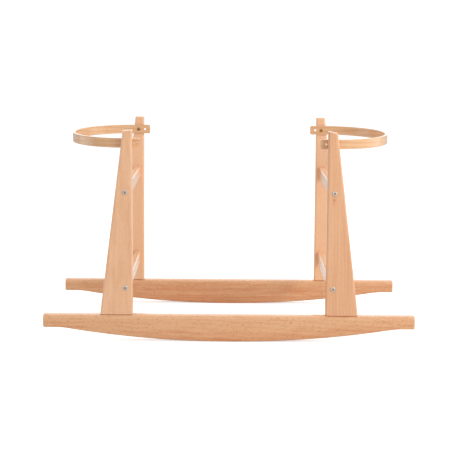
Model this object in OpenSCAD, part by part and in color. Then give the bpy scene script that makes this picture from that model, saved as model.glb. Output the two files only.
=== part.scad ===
// Rocking stand for a Moses basket: two curved rockers, four tapered uprights, four cross rails
// and two bentwood hoops that turn on screws and steady the ends of the basket.
// Millimetres. +X runs along the rockers, +Y to the rear, +Z up, origin on the floor at the centre.

/* [Rockers] */
// Overall length of a rocker
rocker_len = 900; // [880:5:960]
// Height of a rocker at its middle
rocker_h = 65; // [60:1:80]
// Height of the flat underside at a rocker's ends
rocker_lift = 33; // [28:1:36]
// Radius of the curved underside
belly_r = 2500; // [2300:50:2700]
// Radius that blends the curve into the flat ends
blend_r = 200; // [100:10:220]
// Thickness of a rocker
rocker_t = 28; // [26:1:32]
// Rounding along both top edges of a rocker
rocker_round = 10; // [4:0.5:12]
// Distance between the middles of the two rockers
rocker_spacing = 400; // [380:5:430]

/* [Uprights] */
// Distance between the inner edges of the left and right uprights
inner_gap = 466; // [440:2:480]
// Height of an upright above its rocker
upright_h = 448; // [440:1:470]
// Width of an upright at the bottom
upright_foot_w = 79; // [70:1:90]
// Width of an upright at the top
upright_top_w = 23; // [22:1:30]
// Thickness of an upright
upright_t = 20; // [18:1:22]
// Slope of the front left upright's top end, in degrees
front_left_top_slope = 5; // [0:1:15]
// Slope of the front right upright's top end, in degrees
front_right_top_slope = 13; // [0:1:15]
// Slope of the rear uprights' top ends, in degrees
rear_top_slope = 0; // [0:1:15]

/* [Cross rails] */
// Thickness of a rail
rail_t = 16; // [15:1:20]
// Height of a rail
rail_h = 30; // [28:1:36]
// Setback of a rail from the uprights' inner edges
rail_setback = 9.5; // [8:0.5:11]
// Height of the upper rails' bolts above the floor
upper_rail_z = 364; // [350:1:370]
// Height of the lower rails' bolts above the floor
lower_rail_z = 131; // [120:1:150]

/* [Hoops] */
// Height of the hoops' screws above the floor
hoop_z = 480; // [474:1:484]
// Width of the bent strip
strip_w = 23; // [20:1:26]
// Thickness of the bent strip
strip_t = 6; // [5:0.5:7]
// Reach of a hoop from its screws to its far end
hoop_reach = 152; // [144:1:156]
// Distance from the uprights' inner edges to where a hoop starts to bend
bend_inset = 21; // [21:1:26]
// Distance of a hoop's screws from the uprights' inner edges
pivot_inset = 13; // [12:0.5:14]
// Distance between a screw and the spare hole beside it
spare_step = 16.5; // [16.5:0.5:19]
// Distance between the spare hole and the strip's tip
tip_margin = 13.5; // [11:0.5:16]
// Rounding of the strip's tips
tip_round = 8.5; // [2:0.5:10]
// Diameter of a spare hole
spare_hole_d = 5.5; // [4:0.1:6]

/* [Hardware] */
// Diameter of a rail bolt
bolt_d = 6; // [5:0.5:6]
// Length of a rail bolt's shank
bolt_len = 65; // [60:1:70]
// Diameter of a rail bolt's head
bolt_head_d = 12; // [10:0.5:14]
// Thickness of a rail bolt's head
bolt_head_t = 2; // [1.5:0.25:2.5]
// Diameter of a barrel nut
barrel_d = 10; // [9:0.5:11]
// Length of a barrel nut
barrel_len = 13; // [12:0.5:14]
// Diameter of a hoop screw
screw_d = 5; // [4:0.5:5]
// Diameter of a hoop screw's head
screw_head_d = 8.5; // [8:0.5:10]
// Thickness of a hoop screw's head
screw_head_t = 2.8; // [2:0.2:3.4]
// Outer diameter of a threaded insert
insert_d = 8; // [7:0.5:9]
// Length of a threaded insert
insert_len = 12; // [10:0.5:13]
// Outer diameter of a hoop washer
washer_d = 12; // [10:0.5:14]
// Thickness of a hoop washer
washer_t = 1; // [0.8:0.1:1.5]

/* [Dowels] */
// Diameter of an upright's foot dowels
foot_dowel_d = 10; // [8:0.5:10]
// Length of an upright's foot dowels
foot_dowel_len = 44; // [36:1:50]
// Diameter of a rail's locating dowels
rail_dowel_d = 6; // [5:0.5:6]
// Length of a rail's locating dowels
rail_dowel_len = 28; // [24:1:30]

/* [Hidden] */

$fn = 64;

beech = "burlywood";
rocker_beech = "peru";
zinc = "silver";
bronze = "saddlebrown";
nylon = "white";

left = -1;
right = 1;
front = -1;
rear = 1;

// How far a cutting shape runs past an open face
over = 1;
// Running gap between a hoop strip and the parts beside it
side_gap = 0.3;
// Radial clearance of the hoop's bore on its screw
running_gap = 0.05;
// Radial clearance of a bolt in its hole
bolt_gap = 0.5;
// Extra depth at the bottom of a blind hole
end_gap = 1;

row_y = rocker_spacing / 2;
upright_in_y = row_y - upright_t / 2;
upright_out_y = row_y + upright_t / 2;
inner_x = inner_gap / 2;
top_z = rocker_h + upright_h;

rail_in_x = inner_x + rail_setback;
rail_x = rail_in_x + rail_t / 2;
// Distance of a barrel nut's middle from the end of its rail
barrel_inset = 40;
// Distance of a rail's locating dowels below its bolt
rail_dowel_drop = 10;

pivot_x = inner_x + pivot_inset;
spare_x = pivot_x - spare_step;
tip_x = spare_x - tip_margin;
hoop_far_x = pivot_x + hoop_reach;
strip_out_y = upright_in_y - washer_t - side_gap;
strip_in_y = strip_out_y - strip_t;

// Distance between the two dowels in an upright's foot
foot_dowel_step = 34;
foot_dowel_z = rocker_h - foot_dowel_len / 2;

// ---- placing ----

// Moves its children from the rear right quarter to the quarter given by the two signs.
module quarter(side, row) {
    mirror([side == left ? 1 : 0, 0, 0])
        mirror([0, row == front ? 1 : 0, 0])
            children();
}

// Extrudes an outline drawn in X and Z from y0 to y1.
module plate_y(y0, y1) {
    translate([0, y1, 0])
        rotate([90, 0, 0])
            linear_extrude(y1 - y0)
                children();
}

// Cylinder along Y, from y0 to y1, at the given x and z.
module rod_y(d, y0, y1, x, z) {
    translate([x, y1, z])
        rotate([90, 0, 0])
            cylinder(d = d, h = y1 - y0);
}

// Cylinder along X, from x0 to x1, at the given y and z.
module rod_x(d, x0, x1, y, z) {
    translate([x0, y, z])
        rotate([0, 90, 0])
            cylinder(d = d, h = x1 - x0);
}

// Ring along Y, from y0 to y1, at the given x and z.
module ring_y(d_out, d_in, y0, y1, x, z) {
    difference() {
        rod_y(d_out, y0, y1, x, z);
        rod_y(d_in, y0 - over, y1 + over, x, z);
    }
}

// ---- rockers ----

// The blend's centre lies below the flat end and outside the belly's circle.
blend_z = rocker_lift - blend_r;
blend_x = sqrt(pow(belly_r + blend_r, 2) - pow(belly_r - blend_z, 2));
// Where the blend leaves the belly
blend_start = belly_r / (belly_r + blend_r);
blend_start_x = blend_x * blend_start;
blend_start_z = belly_r + (blend_z - belly_r) * blend_start;

module rocker_outline() {
    intersection() {
        translate([0, belly_r])
            rotate(-90)
                circle(r = belly_r, $fn = 720);
        translate([-rocker_len / 2, 0])
            square([rocker_len, rocker_h]);
    }
    translate([-rocker_len / 2, rocker_lift])
        square([rocker_len, rocker_h - rocker_lift]);
    for (side = [left, right])
        mirror([side == left ? 1 : 0, 0])
            difference() {
                translate([blend_start_x, blend_start_z])
                    square([blend_x - blend_start_x, rocker_h - blend_start_z]);
                translate([blend_x, blend_z])
                    circle(r = blend_r, $fn = 180);
            }
}

// Cross-section of a rocker with two rounded top edges, drawn in Y and Z.
module rocker_section() {
    core_t = rocker_t - 2 * rocker_round;
    translate([-rocker_t / 2, 0])
        square([rocker_t, rocker_h - rocker_round]);
    translate([-core_t / 2, 0])
        square([core_t, rocker_h]);
    for (edge = [-1, 1])
        translate([edge * core_t / 2, rocker_h - rocker_round])
            circle(r = rocker_round);
}

// Two vertical bores that reach the given depth to either side of the rocker's top.
module foot_dowel_bores(depth) {
    for (i = [0, 1])
        translate([foot_dowel_x(i), 0, rocker_h - depth])
            cylinder(d = foot_dowel_d, h = 2 * depth);
}

function foot_dowel_x(i) = inner_x + upright_foot_w / 2 + (i - 0.5) * foot_dowel_step;

module rocker(row) {
    color(rocker_beech)
        translate([0, row * row_y, 0])
            difference() {
                intersection() {
                    plate_y(-rocker_t / 2, rocker_t / 2)
                        rocker_outline();
                    translate([-rocker_len / 2, 0, 0])
                        rotate([90, 0, 90])
                            linear_extrude(rocker_len)
                                rocker_section();
                }
                for (side = [left, right])
                    quarter(side, rear)
                        foot_dowel_bores(foot_dowel_len / 2 + end_gap);
            }
}

// ---- uprights ----

module upright_outline(top_slope) {
    drop = upright_top_w * tan(top_slope);
    polygon([
        [inner_x, rocker_h],
        [inner_x + upright_foot_w, rocker_h],
        [inner_x + upright_top_w, top_z - drop],
        [inner_x, top_z]
    ]);
}

// Everything that is drilled into an upright
module upright_holes() {
    for (z = [upper_rail_z, lower_rail_z]) {
        rod_y(bolt_d + 2 * bolt_gap, upright_in_y - over, upright_out_y + over, rail_x, z);
        rod_y(rail_dowel_d, upright_in_y - over, upright_in_y + rail_dowel_depth, rail_x,
            z - rail_dowel_drop);
    }
    rod_y(insert_d, upright_in_y - over, upright_in_y + insert_len + end_gap, pivot_x, hoop_z);
    translate([0, row_y, 0])
        foot_dowel_bores(foot_dowel_len / 2 + end_gap);
}

// A rail's dowels reach a little further into the rail than into the upright.
dowel_bias = 2;
rail_dowel_depth = rail_dowel_len / 2 - dowel_bias;

module upright(side, row, top_slope) {
    color(beech)
        quarter(side, row)
            difference() {
                plate_y(upright_in_y, upright_out_y)
                    upright_outline(top_slope);
                upright_holes();
            }
}

module foot_dowels(side, row) {
    color(beech)
        quarter(side, row)
            for (i = [0, 1])
                translate([foot_dowel_x(i), row_y, foot_dowel_z])
                    cylinder(d = foot_dowel_d, h = foot_dowel_len);
}

// ---- cross rails ----

barrel_y = upright_in_y - barrel_inset;
rail_hole_end_y = upright_out_y - bolt_len - end_gap;
rail_dowel_out_y = upright_in_y + rail_dowel_depth;
rail_dowel_in_y = rail_dowel_out_y - rail_dowel_len;

// The holes in one end of a rail
module rail_end_holes(z) {
    rod_y(bolt_d + 2 * bolt_gap, rail_hole_end_y, upright_in_y + over, rail_x, z);
    rod_y(rail_dowel_d, rail_dowel_in_y - end_gap, upright_in_y + over, rail_x, z - rail_dowel_drop);
    rod_x(barrel_d, rail_in_x + rail_t - barrel_len - end_gap, rail_in_x + rail_t + over,
        barrel_y, z);
}

module rail(side, z) {
    color(beech)
        quarter(side, rear)
            difference() {
                translate([rail_in_x, -upright_in_y, z - rail_h / 2])
                    cube([rail_t, 2 * upright_in_y, rail_h]);
                for (row = [front, rear])
                    quarter(right, row)
                        rail_end_holes(z);
            }
}

module rail_dowels(side, z) {
    color(beech)
        for (row = [front, rear])
            quarter(side, row)
                rod_y(rail_dowel_d, rail_dowel_in_y, rail_dowel_out_y, rail_x, z - rail_dowel_drop);
}

// ---- rail hardware ----

bolt_socket_w = 4;
bolt_socket_depth = 3;
bolt_head_edge = 0.5;

// Six-sided socket along Y with the given width across its flats
module hex_socket_y(w, y0, y1, x, z) {
    corner_d = w / cos(30);
    translate([x, y1, z])
        rotate([90, 0, 0])
            cylinder(d = corner_d, h = y1 - y0, $fn = 6);
}

module rail_bolt(side, row, z) {
    head_y = upright_out_y + bolt_head_t;
    color(zinc)
        quarter(side, row)
            difference() {
                union() {
                    rod_y(bolt_d, upright_out_y - bolt_len, upright_out_y, rail_x, z);
                    rod_y(bolt_head_d, upright_out_y, head_y - bolt_head_edge, rail_x, z);
                    translate([rail_x, head_y, z])
                        rotate([90, 0, 0])
                            cylinder(d1 = bolt_head_d - 2 * bolt_head_edge, d2 = bolt_head_d,
                                h = bolt_head_edge);
                }
                hex_socket_y(bolt_socket_w, head_y - bolt_socket_depth, head_y + over, rail_x, z);
            }
}

module barrel_nut(side, row, z) {
    outer_x = rail_in_x + rail_t;
    color(zinc)
        quarter(side, row)
            difference() {
                rod_x(barrel_d, outer_x - barrel_len, outer_x, barrel_y, z);
                rod_y(bolt_d, barrel_y - barrel_d, barrel_y + barrel_d, rail_x, z);
            }
}

// ---- hoops ----

// Seen from above, each hoop is two straight arms joined by half an ellipse.
bend_x = inner_x + bend_inset;
end_reach = hoop_far_x - bend_x;
// Steps of the half ellipse
bend_steps = 60;

// Point of the half ellipse at angle a, drawn in by the given inset along its normal
function bend_point(a, inset) =
    let (normal = [cos(a) / end_reach, sin(a) / strip_out_y])
    [bend_x + end_reach * cos(a), strip_out_y * sin(a)] - inset * normal / norm(normal);

module hoop_plan() {
    angles = [for (i = [0 : bend_steps]) 180 * i / bend_steps - 90];
    polygon(concat(
        [[tip_x, -strip_out_y]],
        [for (a = angles) bend_point(a, 0)],
        [[tip_x, strip_out_y], [tip_x, strip_in_y]],
        [for (a = angles) bend_point(-a, strip_t)],
        [[tip_x, -strip_in_y]]
    ));
}

// Side view of a hoop, with rounded corners at the tips
module hoop_side() {
    translate([tip_x + tip_round, -strip_w / 2])
        square([hoop_far_x - tip_x, strip_w]);
    translate([tip_x, -strip_w / 2 + tip_round])
        square([2 * tip_round, strip_w - 2 * tip_round]);
    for (edge = [-1, 1])
        translate([tip_x + tip_round, edge * (strip_w / 2 - tip_round)])
            circle(r = tip_round);
}

module hoop(side) {
    color(beech)
        quarter(side, rear)
            difference() {
                intersection() {
                    translate([0, 0, hoop_z - strip_w / 2])
                        linear_extrude(strip_w)
                            hoop_plan();
                    translate([0, 0, hoop_z])
                        plate_y(-row_y, row_y)
                            hoop_side();
                }
                for (row = [front, rear])
                    quarter(right, row) {
                        rod_y(screw_d + 2 * running_gap, strip_in_y - over, strip_out_y + over,
                            pivot_x, hoop_z);
                        rod_y(spare_hole_d, strip_in_y - over, strip_out_y + over,
                            spare_x, hoop_z);
                    }
            }
}

// ---- hoop hardware ----

screw_head_y = strip_in_y - side_gap;
screw_end_y = upright_in_y + insert_len - end_gap;
screw_socket_w = 3;
screw_socket_depth = 2;

module hoop_screw(side, row) {
    color(bronze)
        quarter(side, row)
            difference() {
                union() {
                    rod_y(screw_d, screw_head_y, screw_end_y, pivot_x, hoop_z);
                    rod_y(screw_head_d, screw_head_y - screw_head_t, screw_head_y, pivot_x, hoop_z);
                }
                hex_socket_y(screw_socket_w, screw_head_y - screw_head_t - over,
                    screw_head_y - screw_head_t + screw_socket_depth, pivot_x, hoop_z);
            }
}

module hoop_washer(side, row) {
    color(nylon)
        quarter(side, row)
            ring_y(washer_d, screw_d + 2 * running_gap, upright_in_y - washer_t, upright_in_y,
                pivot_x, hoop_z);
}

module hoop_insert(side, row) {
    color(bronze)
        quarter(side, row)
            ring_y(insert_d, screw_d, upright_in_y, upright_in_y + insert_len, pivot_x, hoop_z);
}

// ---- nodes ----

rocker(front);  // front_rocker
rocker(rear);  // rear_rocker

upright(left, front, front_left_top_slope);  // front_left_upright
upright(right, front, front_right_top_slope);  // front_right_upright
upright(left, rear, rear_top_slope);  // rear_left_upright
upright(right, rear, rear_top_slope);  // rear_right_upright

rail(left, upper_rail_z);  // left_upper_rail
rail(left, lower_rail_z);  // left_lower_rail
rail(right, upper_rail_z);  // right_upper_rail
rail(right, lower_rail_z);  // right_lower_rail

hoop(left);  // left_hoop
hoop(right);  // right_hoop

rail_bolt(left, front, upper_rail_z);  // front_left_upper_rail_bolt
rail_bolt(left, front, lower_rail_z);  // front_left_lower_rail_bolt
rail_bolt(right, front, upper_rail_z);  // front_right_upper_rail_bolt
rail_bolt(right, front, lower_rail_z);  // front_right_lower_rail_bolt
rail_bolt(left, rear, upper_rail_z);  // rear_left_upper_rail_bolt
rail_bolt(left, rear, lower_rail_z);  // rear_left_lower_rail_bolt
rail_bolt(right, rear, upper_rail_z);  // rear_right_upper_rail_bolt
rail_bolt(right, rear, lower_rail_z);  // rear_right_lower_rail_bolt

barrel_nut(left, front, upper_rail_z);  // front_left_upper_barrel_nut
barrel_nut(left, front, lower_rail_z);  // front_left_lower_barrel_nut
barrel_nut(right, front, upper_rail_z);  // front_right_upper_barrel_nut
barrel_nut(right, front, lower_rail_z);  // front_right_lower_barrel_nut
barrel_nut(left, rear, upper_rail_z);  // rear_left_upper_barrel_nut
barrel_nut(left, rear, lower_rail_z);  // rear_left_lower_barrel_nut
barrel_nut(right, rear, upper_rail_z);  // rear_right_upper_barrel_nut
barrel_nut(right, rear, lower_rail_z);  // rear_right_lower_barrel_nut

rail_dowels(left, upper_rail_z);  // left_upper_rail_dowels
rail_dowels(left, lower_rail_z);  // left_lower_rail_dowels
rail_dowels(right, upper_rail_z);  // right_upper_rail_dowels
rail_dowels(right, lower_rail_z);  // right_lower_rail_dowels

foot_dowels(left, front);  // front_left_foot_dowels
foot_dowels(right, front);  // front_right_foot_dowels
foot_dowels(left, rear);  // rear_left_foot_dowels
foot_dowels(right, rear);  // rear_right_foot_dowels

hoop_screw(left, front);  // front_left_hoop_screw
hoop_screw(right, front);  // front_right_hoop_screw
hoop_screw(left, rear);  // rear_left_hoop_screw
hoop_screw(right, rear);  // rear_right_hoop_screw

hoop_washer(left, front);  // front_left_hoop_washer
hoop_washer(right, front);  // front_right_hoop_washer
hoop_washer(left, rear);  // rear_left_hoop_washer
hoop_washer(right, rear);  // rear_right_hoop_washer

hoop_insert(left, front);  // front_left_hoop_insert
hoop_insert(right, front);  // front_right_hoop_insert
hoop_insert(left, rear);  // rear_left_hoop_insert
hoop_insert(right, rear);  // rear_right_hoop_insert
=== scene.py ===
"""Looks of a beech rocking stand for a Moses basket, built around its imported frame.

The stand's sizes come from the frame. The property groups below hold the roundings, the wood
tones and the studio that a user would change, and one operator makes each group of like pieces.
"""

import math

import bmesh
import bpy
from bpy.props import FloatProperty, FloatVectorProperty, IntProperty, PointerProperty
from mathutils import Matrix, Vector


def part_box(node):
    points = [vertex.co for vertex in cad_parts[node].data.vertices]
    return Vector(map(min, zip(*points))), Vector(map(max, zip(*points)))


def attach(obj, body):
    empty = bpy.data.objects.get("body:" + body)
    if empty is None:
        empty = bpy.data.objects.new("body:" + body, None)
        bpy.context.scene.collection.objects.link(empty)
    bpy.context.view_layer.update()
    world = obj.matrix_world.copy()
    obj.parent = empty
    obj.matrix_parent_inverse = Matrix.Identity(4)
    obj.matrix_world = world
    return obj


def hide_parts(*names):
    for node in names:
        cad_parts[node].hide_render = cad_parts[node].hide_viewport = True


bl_info = {
    "name": "Moses Basket Rocking Stand",
    "version": (1, 0, 0),
    "blender": (4, 5, 0),
    "location": "3D View > Sidebar > Stand",
    "description": "Builds a beech rocking stand with bentwood hoops around its frame",
    "category": "Add Mesh",
}

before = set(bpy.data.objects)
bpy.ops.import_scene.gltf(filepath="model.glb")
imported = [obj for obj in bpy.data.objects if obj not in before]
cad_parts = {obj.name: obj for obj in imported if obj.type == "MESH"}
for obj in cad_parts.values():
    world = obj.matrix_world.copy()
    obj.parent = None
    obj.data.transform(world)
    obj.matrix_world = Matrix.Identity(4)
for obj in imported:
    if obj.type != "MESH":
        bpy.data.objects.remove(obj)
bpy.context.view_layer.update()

STAND = "stand"
SIDES = {"left": -1, "right": 1}
ROWS = {"front": -1, "rear": 1}
LEVELS = ("upper", "lower")
QUARTERS = [f"{row}_{side}" for row in ROWS for side in SIDES]
RAIL_ENDS = [f"{quarter}_{level}" for quarter in QUARTERS for level in LEVELS]

# The rocker's underside: a long curve that blends into flat ends
BELLY_RADIUS = 2.5
BELLY_BLEND = 0.2
ROCKER_LIFT = 0.033

# Fit of the hardware, as the frame has it
BARREL_INSET = 0.04
SPARE_STEP = 0.0165
SPARE_RADIUS = 0.00275
PIVOT_RADIUS = 0.00255
STRIP_THICKNESS = 0.006
BEND_INSET = 0.021
BOLT_SHANK_RADIUS = 0.003
BOLT_HEAD_THICKNESS = 0.002
SCREW_SHANK_RADIUS = 0.0025
SCREW_HEAD_THICKNESS = 0.0028

# Hex sockets: width across the flats and depth. The bolt's stays within its head.
BOLT_SOCKET = (0.004, 0.0017)
SCREW_SOCKET = (0.003, 0.002)

# How close two places are to count as one, and the turn past which an edge stays crisp
TOUCH = 1e-5
MERGE = 1e-6
WOOD_CREASE = 40
METAL_CREASE = 35

# Materials made here, by name. The frame brings its own, which are never taken for them.
MADE = {}

# Darkness of each board, from the light tone at 0 towards the dark tone at 1
ROCKER_TONES = {"front": 0.10, "rear": 0.24}
ROCKER_DRIFT = 0.22
# The rear left board's -0.40 is partly its own tone and partly painted light that offsets the shade
# it lies in behind the front left upright.
UPRIGHT_TONES = {"front_left": 0.10, "front_right": 0.60, "rear_left": -0.40, "rear_right": -0.28}
RAIL_TONE = -0.1
HOOP_TONE = 0.0

# The pin knot lies this far below the front right upper bolt, and this far to its left
KNOT_DROP = 0.0165
KNOT_STEP = 0.001
KNOT_SIZE = 0.0028
KNOT_SQUEEZE = (0.45, 1.0, 0.2)

# Cells per metre of each beech pattern: along, across and through the grain
DRIFT_SCALE = (2.6, 15, 15)
WANDER_SCALE = (4.5, 34, 34)
FIBRE_SCALE = (10, 520, 520)
STREAK_SCALE = (3.2, 130, 130)
RAY_SCALE = (200, 900, 900)
DASH_SCALE = (130, 420, 420)
CLUSTER_SCALE = (24, 150, 150)

# The pith line about which the growth rings lie: its place off the board and its tilt
PITH_PLACE = (0, 0.012, 0.071)
PITH_TILT = (0, 0.035, 0.02)
PITH_WANDER = (0.0, 0.016, 0.022)
RING_SCALE = 46.0

# How strongly each kind of piece shows its grain, and the way its end grain faces
WOOD_LOOKS = {
    "upright": ({"Rings": 0.15, "Streaks": 0.55, "Flecks": 0.16, "Mottle": 0.06}, (0, 0, 1)),
    "rail": ({"Rings": 0.25, "Streaks": 0.5, "Flecks": 0.16, "Mottle": 0.05}, (0, 1, 0)),
    "rocker": ({"Rings": 0.25, "Streaks": 1.1, "Flecks": 0.5, "Mottle": 0.3}, (1, 0, 0)),
    "hoop": ({"Rings": 0.4, "Streaks": 1.0, "Flecks": 0.2, "Mottle": 0.08}, None),
}

# Strength of each bump and its depth
WOOD_BUMP = (0.22, 0.00025)
NYLON_BUMP = (0.1, 0.00005)
METAL_BUMP_DEPTH = 0.00005


# ---- settings


def number(name, description, default, **limits):
    """A setting that is a number."""
    return FloatProperty(name=name, description=description, default=default, **limits)


def length(name, description, default, least):
    """A setting in metres."""
    return number(name, description, default, min=least, unit="LENGTH")


def steps(name, description, default, least, most):
    """A setting that counts cuts."""
    return IntProperty(name=name, description=description, default=default, min=least, max=most)


def wood_tone(name, description, default):
    """A colour setting."""
    return FloatVectorProperty(
        name=name, description=description, subtype="COLOR", default=default, min=0, max=1
    )


def share_of_one(name, description, default):
    """A setting from 0 to 1."""
    return number(name, description, default, min=0, max=1, subtype="FACTOR")


def power(name, description, default):
    """A light's power in watts."""
    return number(name, description, default, min=0, unit="POWER")


class StandShape(bpy.types.PropertyGroup):
    """Roundings and mesh steps of the wooden pieces."""

    rocker_top_round: length(
        "Rocker top rounding", "Radius along the top edges of a rocker", 0.010, 0.002
    )
    rocker_base_round: length(
        "Rocker base rounding", "Radius along the lower edges of a rocker", 0.004, 0.0005
    )
    rocker_end_round: length(
        "Rocker end rounding", "Radius round the ends of a rocker", 0.0028, 0.0005
    )
    upright_round: length(
        "Upright rounding", "Radius along the long edges of an upright", 0.005, 0.0005
    )
    upright_top_round: length(
        "Upright top rounding", "Radius round the top end of an upright", 0.0022, 0.0005
    )
    rail_round: length("Rail rounding", "Radius along the long edges of a rail", 0.003, 0.0005)
    strip_round: length(
        "Hoop strip rounding", "Radius along the edges of a hoop's strip", 0.0017, 0.0003
    )
    tip_round: length("Hoop tip rounding", "Radius of the corners at a hoop's tips", 0.0085, 0.001)
    rocker_steps: steps("Rocker steps", "Cuts along a rocker", 150, 20, 400)
    hoop_steps: steps("Hoop steps", "Cuts along a hoop's strip", 180, 40, 400)


class StandWood(bpy.types.PropertyGroup):
    """Tones and finish of the lacquered beech."""

    upright_light: wood_tone(
        "Upright light tone", "Pale wood of the uprights", (0.900, 0.538, 0.318)
    )
    upright_dark: wood_tone(
        "Upright dark tone", "Darker growth of the uprights", (0.715, 0.350, 0.167)
    )
    rocker_light: wood_tone("Rocker light tone", "Pale wood of the rockers", (0.790, 0.435, 0.222))
    rocker_dark: wood_tone(
        "Rocker dark tone", "Darker growth of the rockers", (0.660, 0.255, 0.100)
    )
    hoop_light: wood_tone("Hoop light tone", "Pale wood of the hoops", (0.810, 0.490, 0.268))
    hoop_dark: wood_tone("Hoop dark tone", "Darker growth of the hoops", (0.660, 0.325, 0.140))
    fleck: wood_tone("Fleck tone", "Small ray flecks of beech", (0.400, 0.150, 0.050))
    lacquer: share_of_one("Lacquer", "Strength of the clear satin coat", 1.0)
    lacquer_roughness: share_of_one("Lacquer roughness", "Roughness of the clear satin coat", 0.16)


class StandStage(bpy.types.PropertyGroup):
    """Camera, floor and lights."""

    camera_distance: length(
        "Camera distance", "From the camera to the middle of the stand, along the floor", 3.044, 0.5
    )
    camera_height: length("Camera height", "Camera above the floor", 0.7736, 0.1)
    camera_side: number(
        "Camera side step", "Camera to the right of the stand's middle", -0.0034, unit="LENGTH"
    )
    camera_pitch: number(
        "Camera pitch", "How far the camera looks down", math.radians(7.72), unit="ROTATION"
    )
    camera_roll: number(
        "Camera roll",
        "Small turn of the camera about its own axis",
        math.radians(0.41),
        unit="ROTATION",
    )
    camera_lens: number("Lens", "Focal length on a 36 mm sensor, in millimetres", 94.56, min=20)
    camera_shift: number(
        "Vertical shift", "Lens shift that keeps the uprights nearly parallel", -0.1007
    )
    key_power: power("Key light", "Power of the soft light at the front right", 58.0)
    fill_power: power("Side lights", "Power of each soft light beside the stand", 10.0)
    top_power: power("Top light", "Power of the soft light above the stand", 22.0)
    room_level: number("Room level", "Light that the white room gives the stand", 0.54, min=0)
    floor_glow: number(
        "Floor glow", "How much the floor is lifted towards white where it is seen", 0.55, min=0
    )
    room_white: number(
        "Room white", "Brightness of the room as it is seen and mirrored", 1.45, min=0
    )


# ---- mesh helpers


def box_mesh(low, high):
    """A bmesh block between two corners."""
    bm = bmesh.new()
    bmesh.ops.create_cube(bm, size=1)
    size = high - low
    bmesh.ops.scale(bm, vec=size, verts=bm.verts)
    bmesh.ops.translate(bm, vec=(low + high) / 2, verts=bm.verts)
    return bm


def edges_along(bm, axis, test=None):
    """The edges of bm that run along a row axis (0, 1 or 2) and whose middle passes test."""
    found = []
    for edge in bm.edges:
        step = edge.verts[1].co - edge.verts[0].co
        straight = abs(step[axis]) > 0.5 * step.length
        middle = (edge.verts[0].co + edge.verts[1].co) / 2
        if straight and (test is None or test(middle)):
            found.append(edge)
    return found


def edges_where(bm, test):
    """The edges of bm whose two ends both pass test."""
    return [edge for edge in bm.edges if test(edge.verts[0].co) and test(edge.verts[1].co)]


def round_edges(bm, edges, radius, segments):
    """Rounds the given edges."""
    bmesh.ops.bevel(
        bm,
        geom=edges,
        offset=radius,
        offset_type="OFFSET",
        affect="EDGES",
        segments=segments,
        profile=0.5,
        material=-1,
        clamp_overlap=True,
    )


def turned(points, steps):
    """A closed solid turned about Z from (radius, height) points, first and last on the axis."""
    bm = bmesh.new()
    verts = [bm.verts.new((radius, 0, height)) for radius, height in points]
    for first, second in zip(verts, verts[1:]):
        bm.edges.new((first, second))
    bmesh.ops.spin(
        bm,
        geom=bm.verts[:] + bm.edges[:],
        cent=(0, 0, 0),
        axis=(0, 0, 1),
        angle=math.tau,
        steps=steps,
        use_merge=True,
    )
    bmesh.ops.remove_doubles(bm, verts=bm.verts, dist=MERGE)
    bmesh.ops.recalc_face_normals(bm, faces=bm.faces)
    return bm


def prism(sides, radius, low, high):
    """An upright prism about Z with the given number of sides."""
    bm = bmesh.new()
    bmesh.ops.create_cone(
        bm,
        cap_ends=True,
        cap_tris=False,
        segments=sides,
        radius1=radius,
        radius2=radius,
        depth=high - low,
        matrix=Matrix.Translation((0, 0, (low + high) / 2)),
    )
    return bm


def placed(bm, matrix):
    """Moves the whole of bm by matrix, keeping its faces outwards, and gives it back."""
    bmesh.ops.transform(bm, matrix=matrix, verts=bm.verts)
    if matrix.determinant() < 0:
        bmesh.ops.reverse_faces(bm, faces=bm.faces)
    return bm


def scratch_object(bm, name):
    """A linked object that holds bm, which is freed."""
    mesh = bpy.data.meshes.new(name)
    bm.to_mesh(mesh)
    bm.free()
    obj = bpy.data.objects.new(name, mesh)
    bpy.context.scene.collection.objects.link(obj)
    return obj


def drilled(bm, cutters):
    """bm with each cutter taken out of it. All of them are used up."""
    body = scratch_object(bm, "drill_body")
    tools = [scratch_object(cutter, "drill_tool") for cutter in cutters]
    for tool in tools:
        cut = body.modifiers.new("cut", "BOOLEAN")
        cut.operation = "DIFFERENCE"
        cut.solver = "EXACT"
        cut.object = tool
    result = bmesh.new()
    result.from_object(body, bpy.context.evaluated_depsgraph_get())
    for obj in [body, *tools]:
        mesh = obj.data
        bpy.data.objects.remove(obj)
        bpy.data.meshes.remove(mesh)
    bmesh.ops.remove_doubles(result, verts=result.verts, dist=MERGE)
    return result


def hole_cutter(radius, low, high, chamfer):
    """A cutter about Z for a through hole whose two rims are broken by a small chamfer."""
    wide = radius + 2 * chamfer
    return turned(
        [
            (0, low - chamfer),
            (wide, low - chamfer),
            (radius, low + chamfer),
            (radius, high - chamfer),
            (wide, high + chamfer),
            (0, high + chamfer),
        ],
        40,
    )


def along_axis(origin, direction):
    """A matrix that takes the Z axis to a direction through an origin."""
    turn = Vector((0, 0, 1)).rotation_difference(Vector(direction))
    return Matrix.Translation(origin) @ turn.to_matrix().to_4x4()


def mark_grain(bm, axes, start, tone, drift=0.0):
    """Stores where each vertex lies in its board, along, across and through the grain.

    Tone darkens the board, by drift more at its low edge than at its high one.
    """
    place = bm.verts.layers.float_vector.new("grain")
    shade = bm.verts.layers.float.new("tone")
    along, across, through = axes
    spread = [vert.co[across] for vert in bm.verts]
    middle = (min(spread) + max(spread)) / 2
    half = (max(spread) - min(spread)) / 2
    for vert in bm.verts:
        vert[place] = Vector((vert.co[along], vert.co[across], vert.co[through])) + start
        vert[shade] = tone - drift * (vert.co[across] - middle) / half


def board_start(number):
    """A different place in the log for each board."""
    return Vector((1.37 * number, 0.043 * (number % 5), 0.031 * (number % 7)))


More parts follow.
